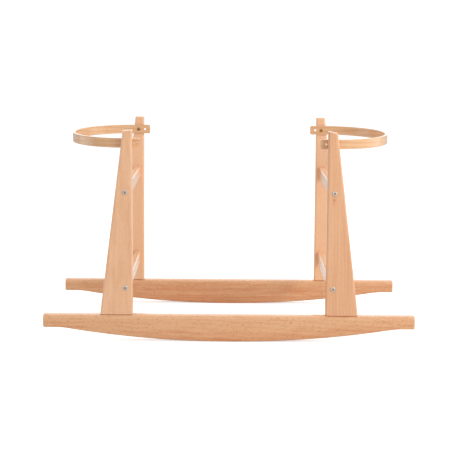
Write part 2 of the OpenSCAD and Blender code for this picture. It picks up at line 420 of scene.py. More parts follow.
def finish_piece(bm, name, material, body, nodes):
    """Makes a smooth object of bm that rides on a body and stands for CAD nodes."""
    for face in bm.faces:
        face.smooth = True
    obj = scratch_object(bm, name)
    obj.data.materials.append(material)
    normals = obj.modifiers.new("even_normals", "WEIGHTED_NORMAL")
    normals.mode = "FACE_AREA"
    normals.weight = 80
    normals.keep_sharp = True
    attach(obj, body)
    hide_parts(*nodes)
    return obj


def sharpen(bm, degrees):
    """Marks the edges that turn by more than an angle as sharp."""
    limit = math.radians(degrees)
    for edge in bm.edges:
        edge.smooth = len(edge.link_faces) == 2 and edge.calc_face_angle(0) < limit


# ---- node helpers


def add(tree, kind, inputs=None, **settings):
    """Adds a shader node. An input is a value, or a socket to link from."""
    made = tree.nodes.new("ShaderNode" + kind)
    for name, value in settings.items():
        setattr(made, name, value)
    for name, value in (inputs or {}).items():
        if isinstance(value, bpy.types.NodeSocket):
            tree.links.new(value, made.inputs[name])
        else:
            made.inputs[name].default_value = value
    return made


def math_of(tree, operation, first, second=0.0, third=0.0, clamp=False):
    """The output of a Math node."""
    inputs = {0: first, 1: second, 2: third}
    return add(tree, "Math", inputs, operation=operation, use_clamp=clamp).outputs[0]


def range_of(tree, value, low, high, to_low=0.0, to_high=1.0):
    """A value mapped smoothly from one range to another."""
    inputs = {0: value, "From Min": low, "From Max": high, "To Min": to_low, "To Max": to_high}
    return add(tree, "MapRange", inputs, interpolation_type="SMOOTHSTEP").outputs["Result"]


def blend_of(tree, factor, first, second, mode="MIX"):
    """Two colours blended by a factor."""
    made = add(tree, "Mix", {"Factor": factor}, data_type="RGBA", blend_type=mode)
    for socket, value in (("A", first), ("B", second)):
        target = [s for s in made.inputs if s.name == socket and s.type == "RGBA"][0]
        if isinstance(value, bpy.types.NodeSocket):
            tree.links.new(value, target)
        else:
            target.default_value = value
    return [s for s in made.outputs if s.type == "RGBA"][0]


def noise_of(tree, vector, scale, detail=2.0, roughness=0.5, distortion=0.0):
    """Noise on a vector stretched by a scale for each axis, from 0 to 1."""
    stretched = add(tree, "Mapping", {"Vector": vector, "Scale": scale}, vector_type="POINT")
    inputs = {
        "Vector": stretched.outputs[0],
        "Scale": 1.0,
        "Detail": detail,
        "Roughness": roughness,
        "Distortion": distortion,
    }
    return add(tree, "TexNoise", inputs).outputs[0]


VECTOR = "NodeSocketVector"
COLOUR = "NodeSocketColor"
VALUE = "NodeSocketFloat"


def new_group(name, inputs, outputs):
    """An empty shader group with its input node and its output node.

    Inputs and outputs give each socket's kind by name, or for a value its default.
    """
    tree = bpy.data.node_groups.new(name, "ShaderNodeTree")
    for socket, kind in inputs.items():
        if isinstance(kind, str):
            tree.interface.new_socket(socket, in_out="INPUT", socket_type=kind)
        else:
            made = tree.interface.new_socket(socket, in_out="INPUT", socket_type=VALUE)
            made.default_value = kind
    for socket, kind in outputs.items():
        tree.interface.new_socket(socket, in_out="OUTPUT", socket_type=kind)
    return tree, tree.nodes.new("NodeGroupInput"), tree.nodes.new("NodeGroupOutput")


def use_group(tree, group, inputs):
    """Places a group in a tree."""
    made = tree.nodes.new("ShaderNodeGroup")
    made.node_tree = group
    for name, value in inputs.items():
        if isinstance(value, bpy.types.NodeSocket):
            tree.links.new(value, made.inputs[name])
        else:
            made.inputs[name].default_value = value
    return made


def feed(tree, node, sockets):
    """Links each output given to the named input of a node."""
    for name, output in sockets.items():
        tree.links.new(output, node.inputs[name])


def surface(tree, shader, colour, rough, height, bump):
    """Feeds a shader its colour, its roughness and a bump of the given strength and depth."""
    inputs = {"Height": height, "Strength": bump[0], "Distance": bump[1]}
    normal = add(tree, "Bump", inputs).outputs["Normal"]
    feed(tree, shader, {"Base Color": colour, "Roughness": rough, "Normal": normal})


def vector_of(tree, operation, first, second=(0, 0, 0), output=0):
    """An output of a Vector Math node: 0 for a vector, "Value" for a number."""
    return add(tree, "VectorMath", {0: first, 1: second}, operation=operation).outputs[output]


def rgba(colour):
    """A colour with full alpha."""
    return (*colour, 1.0)


def new_material(name):
    """A material with a fresh Principled shader, and its tree."""
    material = MADE[name] = bpy.data.materials.new(name)
    material.use_nodes = True
    tree = material.node_tree
    shader = next(n for n in tree.nodes if n.type == "BSDF_PRINCIPLED")
    return material, tree, shader


# ---- shared effects


def beech_group():
    """Growth rings, fibres, ray flecks and slow drift of tone in beech.

    Vector's X runs along the grain, in metres.
    """
    name = "BeechGrain"
    if name in bpy.data.node_groups:
        return bpy.data.node_groups[name]
    tree, given, out = new_group(
        name,
        {
            "Vector": VECTOR,
            "Light": COLOUR,
            "Dark": COLOUR,
            "Fleck": COLOUR,
            "Tone": 0.2,
            "Rings": 0.35,
            "Streaks": 0.6,
            "Flecks": 0.35,
            "Mottle": 0.2,
        },
        {"Color": COLOUR, "Roughness": VALUE, "Height": VALUE},
    )
    place = given.outputs["Vector"]

    drift = noise_of(tree, place, DRIFT_SCALE, detail=2)
    wander = noise_of(tree, place, WANDER_SCALE, detail=1)

    # Rings are cylinders about a pith line that lies a little off the board and out of true.
    bent = vector_of(tree, "MULTIPLY", PITH_WANDER, math_of(tree, "SUBTRACT", wander, 0.5))
    shifted = vector_of(tree, "ADD", place, bent)
    tilted = add(
        tree,
        "Mapping",
        {"Vector": shifted, "Location": PITH_PLACE, "Rotation": PITH_TILT},
    ).outputs[0]
    rings = add(
        tree,
        "TexWave",
        {"Vector": tilted, "Scale": RING_SCALE, "Distortion": 2.2, "Detail Scale": 0.6},
        wave_type="RINGS",
        rings_direction="X",
        wave_profile="SIN",
    ).outputs["Fac"]
    late_wood = range_of(tree, rings, 0.35, 1.0)

    fibres = noise_of(tree, place, FIBRE_SCALE, detail=3, roughness=0.62)
    streaks = noise_of(tree, place, STREAK_SCALE, detail=2)
    rays = range_of(tree, noise_of(tree, place, RAY_SCALE, detail=1), 0.58, 0.70)
    dashes = range_of(tree, noise_of(tree, place, DASH_SCALE, detail=1), 0.61, 0.70)
    clusters = range_of(tree, noise_of(tree, place, CLUSTER_SCALE, detail=3), 0.45, 0.70)

    tone = math_of(tree, "MULTIPLY_ADD", late_wood, given.outputs["Rings"], given.outputs["Tone"])
    slow = math_of(tree, "SUBTRACT", drift, 0.5)
    tone = math_of(tree, "MULTIPLY_ADD", slow, 1.0, tone)
    fine = math_of(tree, "SUBTRACT", fibres, 0.5)
    tone = math_of(tree, "MULTIPLY_ADD", fine, 0.6, tone)
    broad = math_of(tree, "SUBTRACT", streaks, 0.5)
    tone = math_of(tree, "MULTIPLY_ADD", broad, given.outputs["Streaks"], tone)
    tone = math_of(tree, "MULTIPLY_ADD", clusters, given.outputs["Mottle"], tone, clamp=True)
    base = blend_of(tree, tone, given.outputs["Light"], given.outputs["Dark"])
    fleck = math_of(tree, "MULTIPLY_ADD", rays, 0.45, dashes, clamp=True)
    fleck = math_of(tree, "MULTIPLY", fleck, given.outputs["Flecks"])
    coloured = blend_of(tree, fleck, base, given.outputs["Fleck"])

    rough = math_of(tree, "MULTIPLY_ADD", fibres, 0.12, 0.36)
    rough = math_of(tree, "MULTIPLY_ADD", rays, 0.10, rough)
    height = math_of(tree, "MULTIPLY_ADD", rays, -0.7, fibres)
    height = math_of(tree, "MULTIPLY_ADD", late_wood, 0.25, height)

    feed(tree, out, {"Color": coloured, "Roughness": rough, "Height": height})
    return tree


def edge_group():
    """A mask of the edges, broken up by noise, for lacquer that is rubbed thin there."""
    name = "EdgeRub"
    if name in bpy.data.node_groups:
        return bpy.data.node_groups[name]
    tree, given, out = new_group(
        name,
        {"Vector": VECTOR, "Radius": 0.003},
        {"Mask": VALUE},
    )
    soft = add(tree, "Bevel", {"Radius": given.outputs["Radius"]}, samples=6)
    true = add(tree, "NewGeometry")
    alike = vector_of(tree, "DOT_PRODUCT", soft.outputs[0], true.outputs["Normal"], "Value")
    edge = range_of(tree, alike, 0.995, 0.80)
    patchy = noise_of(tree, given.outputs["Vector"], (60, 90, 90), detail=3)
    worn = math_of(tree, "MULTIPLY", edge, range_of(tree, patchy, 0.35, 0.65, 0.45, 1.0))
    tree.links.new(worn, out.inputs["Mask"])
    return tree


def end_group():
    """A mask of the surfaces that cut across the grain."""
    name = "EndGrain"
    if name in bpy.data.node_groups:
        return bpy.data.node_groups[name]
    tree, given, out = new_group(
        name,
        {"Axis": VECTOR},
        {"Mask": VALUE},
    )
    normal = add(tree, "NewGeometry").outputs["Normal"]
    facing = vector_of(tree, "DOT_PRODUCT", normal, given.outputs["Axis"], "Value")
    mask = range_of(tree, math_of(tree, "ABSOLUTE", facing), 0.75, 0.98)
    tree.links.new(mask, out.inputs["Mask"])
    return tree


def knot_group():
    """A pin knot: a small dark core in a warmer halo, drawn out along the grain."""
    name = "PinKnot"
    if name in bpy.data.node_groups:
        return bpy.data.node_groups[name]
    tree, given, out = new_group(
        name,
        {"Vector": VECTOR, "Centre": VECTOR, "Size": 0.003},
        {"Core": VALUE, "Halo": VALUE},
    )
    away = vector_of(tree, "SUBTRACT", given.outputs["Vector"], given.outputs["Centre"])
    squeezed = vector_of(tree, "MULTIPLY", away, KNOT_SQUEEZE)
    reach = vector_of(tree, "LENGTH", squeezed, output="Value")
    ragged = noise_of(tree, given.outputs["Vector"], (160, 400, 400), detail=3)
    reach = math_of(tree, "DIVIDE", reach, given.outputs["Size"])
    reach = math_of(tree, "MULTIPLY_ADD", math_of(tree, "SUBTRACT", ragged, 0.5), 0.9, reach)
    outputs = {
        "Core": range_of(tree, reach, 0.75, 0.25),
        "Halo": range_of(tree, reach, 3.2, 0.7),
    }
    feed(tree, out, outputs)
    return tree


def metal_group():
    """Fine scratches and slow staining on plated metal."""
    name = "PlatedMetal"
    if name in bpy.data.node_groups:
        return bpy.data.node_groups[name]
    tree, given, out = new_group(
        name,
        {"Vector": VECTOR, "Light": COLOUR, "Dark": COLOUR, "Roughness": 0.35},
        {"Color": COLOUR, "Roughness": VALUE, "Height": VALUE},
    )
    place = given.outputs["Vector"]
    stain = range_of(tree, noise_of(tree, place, (260, 260, 260), detail=4), 0.35, 0.7)
    scratch = noise_of(tree, place, (900, 5200, 1400), detail=2)
    grains = noise_of(tree, place, (6000, 6000, 6000), detail=1)
    colour = blend_of(tree, stain, given.outputs["Light"], given.outputs["Dark"])
    rough = math_of(tree, "MULTIPLY_ADD", stain, 0.12, given.outputs["Roughness"])
    rough = math_of(tree, "MULTIPLY_ADD", scratch, 0.10, rough)
    height = math_of(tree, "MULTIPLY_ADD", grains, 0.5, scratch)
    feed(tree, out, {"Color": colour, "Roughness": rough, "Height": height})
    return tree


# ---- materials


def wood_material(name, light, dark, place, look, axis=None, knot=None):
    """Lacquered beech. Place is "grain" for a piece that stores its own, or a turn for Object.

    Look holds the strengths of the rings, streaks, flecks and mottle.
    """
    if name in MADE:
        return MADE[name]
    wood = bpy.context.scene.stand_wood
    material, tree, shader = new_material(name)
    if place == "grain":
        vector = add(tree, "Attribute", attribute_name="grain").outputs["Vector"]
        tone = add(tree, "Attribute", attribute_name="tone").outputs["Fac"]
    else:
        tone = 0.2
        spot = add(tree, "TexCoord").outputs["Object"]
        vector = add(tree, "Mapping", {"Vector": spot, "Rotation": place}).outputs[0]
    beech = use_group(
        tree,
        beech_group(),
        {
            "Vector": vector,
            "Light": rgba(light),
            "Dark": rgba(dark),
            "Fleck": rgba(wood.fleck),
            "Tone": tone,
            **look,
        },
    )
    colour = beech.outputs["Color"]
    if axis is not None:
        end = use_group(tree, end_group(), {"Axis": axis}).outputs["Mask"]
        end_tone = rgba([0.72 * part for part in dark])
        colour = blend_of(tree, math_of(tree, "MULTIPLY", end, 0.6), colour, end_tone)
    if knot is not None:
        spot = use_group(tree, knot_group(), {"Vector": vector, "Centre": knot, "Size": KNOT_SIZE})
        halo = math_of(tree, "MULTIPLY", spot.outputs["Halo"], 0.45)
        colour = blend_of(tree, halo, colour, rgba((0.70, 0.30, 0.13)))
        core = math_of(tree, "MULTIPLY", spot.outputs["Core"], 0.8)
        colour = blend_of(tree, core, colour, rgba(wood.fleck))
    rub = use_group(tree, edge_group(), {"Vector": vector, "Radius": 0.0025}).outputs["Mask"]
    rubbed = rgba([min(1.0, 1.12 * part + 0.03) for part in light])
    colour = blend_of(tree, math_of(tree, "MULTIPLY", rub, 0.35), colour, rubbed)
    rough = math_of(tree, "MULTIPLY_ADD", rub, 0.06, beech.outputs["Roughness"])
    surface(tree, shader, colour, rough, beech.outputs["Height"], WOOD_BUMP)
    shader.inputs["Specular IOR Level"].default_value = 0.15
    shader.inputs["Coat Weight"].default_value = wood.lacquer
    shader.inputs["Coat Roughness"].default_value = wood.lacquer_roughness
    return material


def beech_of(piece, knot=None):
    """The lacquered beech of a kind of piece. A knot's place gives that board its own copy."""
    wood = bpy.context.scene.stand_wood
    tones = {
        "upright": (wood.upright_light, wood.upright_dark),
        "rail": (wood.upright_light, wood.upright_dark),
        "rocker": (wood.rocker_light, wood.rocker_dark),
        "hoop": (wood.hoop_light, wood.hoop_dark),
    }
    look, axis = WOOD_LOOKS[piece]
    name = f"lacquered_{piece}" if knot is None else f"lacquered_{piece}_knot"
    return wood_material(name, *tones[piece], "grain", look, axis, knot)


def dowel_beech(name, turn, axis):
    """Plain beech of the dowels, turned so that its grain runs along them."""
    wood = bpy.context.scene.stand_wood
    look = {"Rings": 0.2, "Streaks": 0.6, "Flecks": 0.3, "Mottle": 0.1}
    return wood_material(name, wood.upright_light, wood.upright_dark, turn, look, axis)


def metal_material(name, light, dark, roughness, bump_strength):
    """Plated metal with fine scratches, darkened with painted shade where a piece's "recess"
    attribute is 1.
    """
    if name in MADE:
        return MADE[name]
    material, tree, shader = new_material(name)
    place = add(tree, "TexCoord").outputs["Object"]
    metal = use_group(
        tree,
        metal_group(),
        {"Vector": place, "Light": rgba(light), "Dark": rgba(dark), "Roughness": roughness},
    )
    rub = use_group(tree, edge_group(), {"Vector": place, "Radius": 0.0006}).outputs["Mask"]
    bright = rgba([min(1.0, 1.35 * part + 0.02) for part in light])
    colour = blend_of(tree, math_of(tree, "MULTIPLY", rub, 0.6), metal.outputs["Color"], bright)
    # Painted shade: inside each hex socket the colour is made dark to stand for the shade that
    # falls there.
    recess = add(tree, "Attribute", attribute_name="recess").outputs["Fac"]
    socket_shade = rgba([0.30 * part for part in dark])
    colour = blend_of(tree, math_of(tree, "MULTIPLY", recess, 0.9), colour, socket_shade)
    bump = (bump_strength, METAL_BUMP_DEPTH)
    surface(tree, shader, colour, metal.outputs["Roughness"], metal.outputs["Height"], bump)
    shader.inputs["Metallic"].default_value = 1.0
    return material


def zinc_steel():
    """Dull zinc-plated steel of the rail bolts and barrel nuts."""
    return metal_material("scuffed_zinc", (0.56, 0.505, 0.44), (0.42, 0.375, 0.325), 0.38, 0.15)


def bronzed_brass():
    """Dark bronzed brass of the hoop screws and inserts."""
    return metal_material("bronzed_brass", (0.42, 0.23, 0.09), (0.26, 0.13, 0.05), 0.36, 0.15)


def white_nylon():
    """Milky nylon of the hoop washers."""
    name = "moulded_nylon"
    if name in MADE:
        return MADE[name]
    material, tree, shader = new_material(name)
    place = add(tree, "TexCoord").outputs["Object"]
    cloud = range_of(tree, noise_of(tree, place, (500, 500, 500), detail=4), 0.3, 0.7)
    rub = use_group(tree, edge_group(), {"Vector": place, "Radius": 0.0005}).outputs["Mask"]
    colour = blend_of(tree, cloud, rgba((0.82, 0.80, 0.74)), rgba((0.72, 0.70, 0.64)))
    colour = blend_of(tree, math_of(tree, "MULTIPLY", rub, 0.4), colour, rgba((0.9, 0.89, 0.86)))
    rough = math_of(tree, "MULTIPLY_ADD", cloud, 0.15, 0.42)
    grains = noise_of(tree, place, (4000, 4000, 4000), detail=1)
    surface(tree, shader, colour, rough, grains, NYLON_BUMP)
    return material


# ---- rockers


def underside(x):
    """Height of a rocker's underside above the floor at x."""
    away = abs(x)
    blend_z = ROCKER_LIFT - BELLY_BLEND
    blend_x = math.sqrt((BELLY_RADIUS + BELLY_BLEND) ** 2 - (BELLY_RADIUS - blend_z) ** 2)
    if away < blend_x * BELLY_RADIUS / (BELLY_RADIUS + BELLY_BLEND):
        return BELLY_RADIUS - math.sqrt(BELLY_RADIUS**2 - away**2)
    if away < blend_x:
        return blend_z + math.sqrt(BELLY_BLEND**2 - (blend_x - away) ** 2)
    return ROCKER_LIFT


def rocker_mesh(low, high, shape):
    """A rocker: a bar whose lower side is drawn up to the curve, with rounded edges."""
    bm = box_mesh(low, high)
    bmesh.ops.subdivide_edges(
        bm, edges=edges_along(bm, 0), cuts=shape.rocker_steps, use_grid_fill=True
    )
    for vert in bm.verts:
        if vert.co.z < (low.z + high.z) / 2:
            vert.co.z = low.z + underside(vert.co.x)
    top = edges_along(bm, 0, lambda middle: middle.z > high.z - TOUCH)
    round_edges(bm, top, shape.rocker_top_round, 7)
    edge_y = (high.y - low.y) / 2 - TOUCH
    centre_y = (high.y + low.y) / 2
    base = edges_along(
        bm,
        0,
        lambda middle: abs(middle.y - centre_y) > edge_y
        and abs(middle.z - low.z - underside(middle.x)) < 1e-4,
    )
    round_edges(bm, base, shape.rocker_base_round, 4)
    rim = edges_where(bm, lambda co: abs(co.x) > high.x - TOUCH)
    round_edges(bm, rim, shape.rocker_end_round, 3)
    return bm


class STAND_OT_rockers(bpy.types.Operator):
    """Make the two curved rockers"""

    bl_idname = "stand.rockers"
    bl_label = "Rockers"

    def execute(self, context):
        shape = context.scene.stand_shape
        for number, row in enumerate(ROWS):
            node = f"{row}_rocker"
            bm = rocker_mesh(*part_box(node), shape)
            mark_grain(bm, (0, 2, 1), board_start(number + 1), ROCKER_TONES[row], ROCKER_DRIFT)
            finish_piece(bm, f"{row}_rocker_wood", beech_of("rocker"), STAND, [node])
        return {"FINISHED"}


# ---- uprights


def upright_mesh(node, side, shape):
    """A tapered board: its face is drawn from four corners and drawn back to its thickness."""
    low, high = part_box(node)
    inner_x = low.x if side > 0 else high.x
    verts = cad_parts[node].data.vertices
    upper = [vert.co for vert in verts if vert.co.z > (low.z + high.z) / 2]
    top_outer = max(upper, key=lambda co: side * co.x + co.z * 0.2)
    outline = [
        (inner_x, low.z),
        (high.x if side > 0 else low.x, low.z),
        (top_outer.x, top_outer.z),
        (inner_x, high.z),
    ]
    bm = bmesh.new()
    face = bm.faces.new([bm.verts.new((x, low.y, z)) for x, z in outline])
    drawn = bmesh.ops.extrude_face_region(bm, geom=[face])
    back = [item for item in drawn["geom"] if isinstance(item, bmesh.types.BMVert)]
    bmesh.ops.translate(bm, vec=(0, high.y - low.y, 0), verts=back)
    bmesh.ops.recalc_face_normals(bm, faces=bm.faces)
    round_edges(bm, edges_along(bm, 2), shape.upright_round, 6)
    top_z = top_outer.z - 0.001
    rim = edges_where(bm, lambda co: co.z > top_z)
    round_edges(bm, rim, shape.upright_top_round, 4)
    foot = edges_where(bm, lambda co: co.z < low.z + TOUCH)
    round_edges(bm, foot, 0.0013, 2)
    return bm


class STAND_OT_uprights(bpy.types.Operator):
    """Make the four tapered uprights"""

    bl_idname = "stand.uprights"
    bl_label = "Uprights"

    def execute(self, context):
        shape = context.scene.stand_shape
        for number, quarter in enumerate(QUARTERS):
            node = f"{quarter}_upright"
            side = SIDES[quarter.split("_")[1]]
            start = board_start(number + 4)
            bm = upright_mesh(node, side, shape)
            mark_grain(bm, (2, 0, 1), start, UPRIGHT_TONES[quarter])
            knot = None
            if quarter == "front_right":
                bolt_low, bolt_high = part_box("front_right_upper_rail_bolt")
                bolt = (bolt_low + bolt_high) / 2
                face_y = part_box(node)[0].y
                knot = Vector((bolt.z - KNOT_DROP, bolt.x - KNOT_STEP, face_y)) + start
            material = beech_of("upright", knot)
            finish_piece(bm, f"{quarter}_upright_board", material, STAND, [node])
        return {"FINISHED"}


# ---- cross rails


class STAND_OT_rails(bpy.types.Operator):
    """Make the four cross rails, each bored for its two barrel nuts"""

    bl_idname = "stand.rails"
    bl_label = "Cross rails"

    def execute(self, context):
        shape = context.scene.stand_shape
        names = [f"{side}_{level}_rail" for side in SIDES for level in LEVELS]
        for number, node in enumerate(names):
            low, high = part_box(node)
            side = SIDES[node.split("_")[0]]
            bm = box_mesh(low, high)
            round_edges(bm, edges_along(bm, 1), shape.rail_round, 5)
            outer_x = high.x if side > 0 else low.x
            middle_z = (low.z + high.z) / 2
            cutters = []
            for end_y, inward in ((low.y, 1), (high.y, -1)):
                mouth = Vector((outer_x, end_y + inward * BARREL_INSET, middle_z))
                cutter = turned(
                    [
                        (0, 0.001),
                        (0.0062, 0.001),
                        (0.0050, -0.0004),
                        (0.0050, -0.014),
                        (0, -0.014),
                    ],
                    40,
                )
                cutters.append(placed(cutter, along_axis(mouth, (side, 0, 0))))
            bm = drilled(bm, cutters)
            sharpen(bm, WOOD_CREASE)
            mark_grain(bm, (1, 2, 0), board_start(number + 11), RAIL_TONE)
            finish_piece(bm, f"{node}_bar", beech_of("rail"), STAND, [node])
        return {"FINISHED"}


# ---- hoops


class Bend:
    """Maps a straight strip to the hoop: two straight arms joined by half an ellipse.

    Along runs from one tip to the other with 0 at the far end, inset runs inwards from the
    outer face.
    """

    def __init__(self, side, tip_x, bend_x, far_x, half_width, thickness):
        self.side = side
        self.bend_x = bend_x
        self.reach = far_x - bend_x
        self.half_width = half_width
        self.arm = bend_x - tip_x
        self.angles = [0.0]
        self.lengths = [0.0]
        steps = 400
        last = self.on_ellipse(0.0, thickness / 2)
        for step in range(1, steps + 1):
            angle = math.pi / 2 * step / steps
            point = self.on_ellipse(angle, thickness / 2)
            self.angles.append(angle)
            self.lengths.append(self.lengths[-1] + (point - last).length)
            last = point
        self.half_length = self.lengths[-1] + self.arm

    def on_ellipse(self, angle, inset):
        """The point at an angle from the hoop's far end, drawn in along the normal."""
        normal = Vector((math.cos(angle) / self.reach, math.sin(angle) / self.half_width))
        on_outline = Vector(
            (self.bend_x + self.reach * math.cos(angle), self.half_width * math.sin(angle))
        )
        return on_outline - inset * normal.normalized()

    def angle_at(self, length):
        """The angle at which the middle of the strip has run a length from the far end."""
        low, high = 0, len(self.lengths) - 1
        while high - low > 1:
            middle = (low + high) // 2
            if self.lengths[middle] > length:
                high = middle
            else:
                low = middle
        share = (length - self.lengths[low]) / (self.lengths[high] - self.lengths[low])
        return self.angles[low] + share * (self.angles[high] - self.angles[low])

    def place(self, along, inset):
        """Where a point of the straight strip lies, as x and y."""
        away = abs(along)
        turn = 1 if along >= 0 else -1
        if away > self.lengths[-1]:
            point = Vector((self.bend_x - (away - self.lengths[-1]), self.half_width - inset))
        else:
            point = self.on_ellipse(self.angle_at(away), inset)
        return self.side * point.x, turn * point.y

    def along_at(self, x):
        """The distance along the strip of a place on its straight arm."""
        return self.lengths[-1] + self.bend_x - abs(x)


def hoop_mesh(node, side, shape):
    """A bentwood hoop: a bar is rounded and drilled straight, then bent."""
    low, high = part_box(node)
    strip_w = high.z - low.z
    middle_z = (high.z + low.z) / 2
    half_width = high.y
    tip_x = min(abs(low.x), abs(high.x))
    far_x = max(abs(low.x), abs(high.x))
    screw_low, screw_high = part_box(f"rear_{node.split('_')[0]}_hoop_screw")
    pivot_x = abs(screw_low.x + screw_high.x) / 2
    post_low, post_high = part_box(f"rear_{node.split('_')[0]}_upright")
    inner_x = min(abs(post_low.x), abs(post_high.x))
    thickness = STRIP_THICKNESS
    bend = Bend(side, tip_x, inner_x + BEND_INSET, far_x, half_width, thickness)

    corner = Vector((bend.half_length, thickness, strip_w / 2))
    bm = box_mesh(Vector((-corner.x, 0, -corner.z)), corner)
    bmesh.ops.subdivide_edges(
        bm, edges=edges_along(bm, 0), cuts=shape.hoop_steps, use_grid_fill=True
    )
    tips = edges_along(bm, 1, lambda mid: abs(mid.x) > corner.x - TOUCH and abs(mid.z) > 0.01)
    round_edges(bm, tips, shape.tip_round, 8)
    faces_y = (TOUCH, thickness - TOUCH)
    rims = [
        edge
        for edge in bm.edges
        if len(edge.link_faces) == 2
        and edge.calc_face_angle(0) > math.radians(60)
        and (edge.verts[0].co.y < faces_y[0]) == (edge.verts[1].co.y < faces_y[0])
    ]
    round_edges(bm, rims, shape.strip_round, 4)

    cutters = []
    for turn in (-1, 1):
        for x, radius in ((pivot_x, PIVOT_RADIUS), (pivot_x - SPARE_STEP, SPARE_RADIUS)):
            cutter = hole_cutter(radius, 0, thickness, 0.0003)
            place = Vector((turn * bend.along_at(x), 0, 0))
            cutters.append(placed(cutter, along_axis(place, (0, 1, 0))))
    bm = drilled(bm, cutters)
    sharpen(bm, WOOD_CREASE)
    mark_grain(bm, (0, 2, 1), board_start(20 + (side > 0)), HOOP_TONE)
    for vert in bm.verts:
        x, y = bend.place(vert.co.x, vert.co.y)
        vert.co = Vector((x, y, middle_z + vert.co.z))
    bmesh.ops.recalc_face_normals(bm, faces=bm.faces)
    return bm


class STAND_OT_hoops(bpy.types.Operator):
    """Make the two bentwood hoops"""

    bl_idname = "stand.hoops"
    bl_label = "Hoops"

    def execute(self, context):
        shape = context.scene.stand_shape
        for name, side in SIDES.items():
            node = f"{name}_hoop"
            bm = hoop_mesh(node, side, shape)
            finish_piece(bm, f"{node}_strip", beech_of("hoop"), f"{node}_body", [node])
        return {"FINISHED"}


# ---- hardware


def headed(node, rim, edge, tip, shank_r, head_t, cuts, socket, facing):
    """A bolt or screw in a CAD node's box: a rounded flat head with a socket, and its shank.

    Rim holds the head's profile as steps in from its edge and down from its top. Facing is -1
    or 1, the way that the head faces along Y.
    """
    low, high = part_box(node)
    head_r = (high.x - low.x) / 2
    length = high.y - low.y
    profile = [
        (0, 0),
        *[(head_r - step, -drop) for step, drop in rim],
        (head_r, -edge),
        (head_r, -head_t),
        (shank_r, -head_t),
        (shank_r, tip - length),
        (shank_r - tip, -length),
        (0, -length),
    ]
    bm = socketed(turned(profile, cuts), *socket)
    sharpen(bm, METAL_CREASE)
    head_y = high.y if facing > 0 else low.y
    spot = Vector(((low.x + high.x) / 2, head_y, (low.z + high.z) / 2))
    return placed(bm, along_axis(spot, (0, facing, 0)))


class STAND_OT_rail_bolts(bpy.types.Operator):
    """Make the eight flat-headed bolts that hold the rails"""

    bl_idname = "stand.rail_bolts"
    bl_label = "Rail bolts"

    def execute(self, context):
        rim = ((0.0012, 0), (0.0005, 0.00012), (0.0001, 0.0005))
        for end in RAIL_ENDS:
            node = f"{end}_rail_bolt"
            facing = ROWS[end.split("_")[0]]
            sizes = (0.0009, 0.0006, BOLT_SHANK_RADIUS, BOLT_HEAD_THICKNESS)
            bm = headed(node, rim, *sizes, 56, BOLT_SOCKET, facing)
            finish_piece(bm, f"{end}_bolt", zinc_steel(), STAND, [node])
        return {"FINISHED"}


def socketed(bm, across_flats, depth):
    """bm with a hex socket in its head, whose top is at height 0. The socket's inside is marked as
    a recess, which the metal darkens as painted shade.
    """
    corner = across_flats / 2 / math.cos(math.radians(30))
    bm = drilled(bm, [prism(6, corner, -depth, 0.001)])
    layer = bm.verts.layers.float.new("recess")
    for vert in bm.verts:
        inside = vert.co.xy.length < corner + TOUCH and vert.co.z > -depth - TOUCH
        vert[layer] = 1.0 if inside and vert.co.z < -TOUCH else 0.0
    return bm


class STAND_OT_barrel_nuts(bpy.types.Operator):
    """Make the eight barrel nuts, slotted at their outer ends"""

    bl_idname = "stand.barrel_nuts"
    bl_label = "Barrel nuts"

    def execute(self, context):
        for end in RAIL_ENDS:
            node = f"{end}_barrel_nut"
            low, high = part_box(node)
            side = SIDES[end.split("_")[1]]
            length = high.x - low.x
            radius = (high.z - low.z) / 2 - 0.00015
            top = -0.0003
            profile = [
                (0, top),
                (radius - 0.0006, top),
                (radius, top - 0.0006),
                (radius, 0.0006 - length),
                (radius - 0.0006, -length),
                (0, -length),
            ]
            slot = box_mesh(Vector((-0.01, -0.0006, top - 0.0012)), Vector((0.01, 0.0006, 0.001)))
            cross = placed(
                prism(32, 0.003, -0.01, 0.01),
                Matrix.Translation((0, 0, -0.009)) @ Matrix.Rotation(math.pi / 2, 4, "X"),
            )
            bm = drilled(turned(profile, 48), [slot, cross])
            sharpen(bm, METAL_CREASE)
            outer_x = high.x if side > 0 else low.x
            spot = Vector((outer_x, (low.y + high.y) / 2, (low.z + high.z) / 2))
            placed(bm, along_axis(spot, (side, 0, 0)))
            finish_piece(bm, f"{end}_nut", zinc_steel(), STAND, [node])
        return {"FINISHED"}


class STAND_OT_hoop_screws(bpy.types.Operator):
    """Make the four screws on which the hoops turn"""

    bl_idname = "stand.hoop_screws"
    bl_label = "Hoop screws"

    def execute(self, context):
        rim = ((0.0008, 0), (0.00025, 0.00025))
        for quarter in QUARTERS:
            node = f"{quarter}_hoop_screw"
            facing = -ROWS[quarter.split("_")[0]]
            sizes = (0.0008, 0.0005, SCREW_SHANK_RADIUS, SCREW_HEAD_THICKNESS)
            bm = headed(node, rim, *sizes, 48, SCREW_SOCKET, facing)
            finish_piece(bm, f"{quarter}_screw", bronzed_brass(), STAND, [node])
        return {"FINISHED"}


class STAND_OT_small_parts(bpy.types.Operator):
    """Finish the washers, threaded inserts and dowels as the frame holds them"""

    bl_idname = "stand.small_parts"
    bl_label = "Washers, inserts and dowels"

    def execute(self, context):
        to_x_from_z = (0, math.pi / 2, 0)
        to_x_from_y = (0, 0, -math.pi / 2)
        foot = dowel_beech("foot_dowel_beech", to_x_from_z, (0, 0, 1))
        cross = dowel_beech("rail_dowel_beech", to_x_from_y, (0, 1, 0))
        for name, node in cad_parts.items():
            if name.endswith("washer"):
                give_material(node, white_nylon())
            if name.endswith("insert"):
                give_material(node, bronzed_brass())
            if name.endswith("foot_dowels"):
                give_material(node, foot)
            if name.endswith("rail_dowels"):
                give_material(node, cross)
        return {"FINISHED"}


def give_material(obj, material):
    """Puts a material in each of an object's slots."""
    for slot in obj.material_slots:
        slot.material = material


# ---- stage


